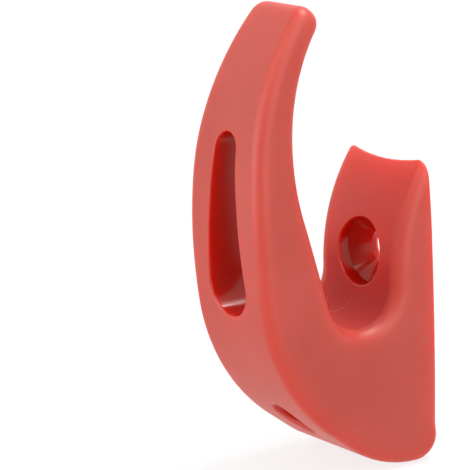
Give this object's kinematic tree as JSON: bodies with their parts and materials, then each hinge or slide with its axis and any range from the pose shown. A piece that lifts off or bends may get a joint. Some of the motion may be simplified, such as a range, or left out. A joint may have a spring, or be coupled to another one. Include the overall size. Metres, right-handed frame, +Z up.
{
  "type": "bike storage hook",
  "caption": "One-piece moulded J-shaped storage hook with a tapered arm, a tool slot through the arm and a screw-on back hollowed to seat on a round tube or wall.",
  "frame": {"origin": "midway between the two screw holes, on the deepest line of the hollow back", "axes": "+X across the hook, +Y into the tube or wall behind it, +Z up along the arm"},
  "size_m": [0.023, 0.0337, 0.0776],
  "materials": {
    "nylon": "satin moulded, slightly translucent red"
  },
  "bodies": {
    "root": {"hook_body": "nylon"}
  },
  "joints": []
}
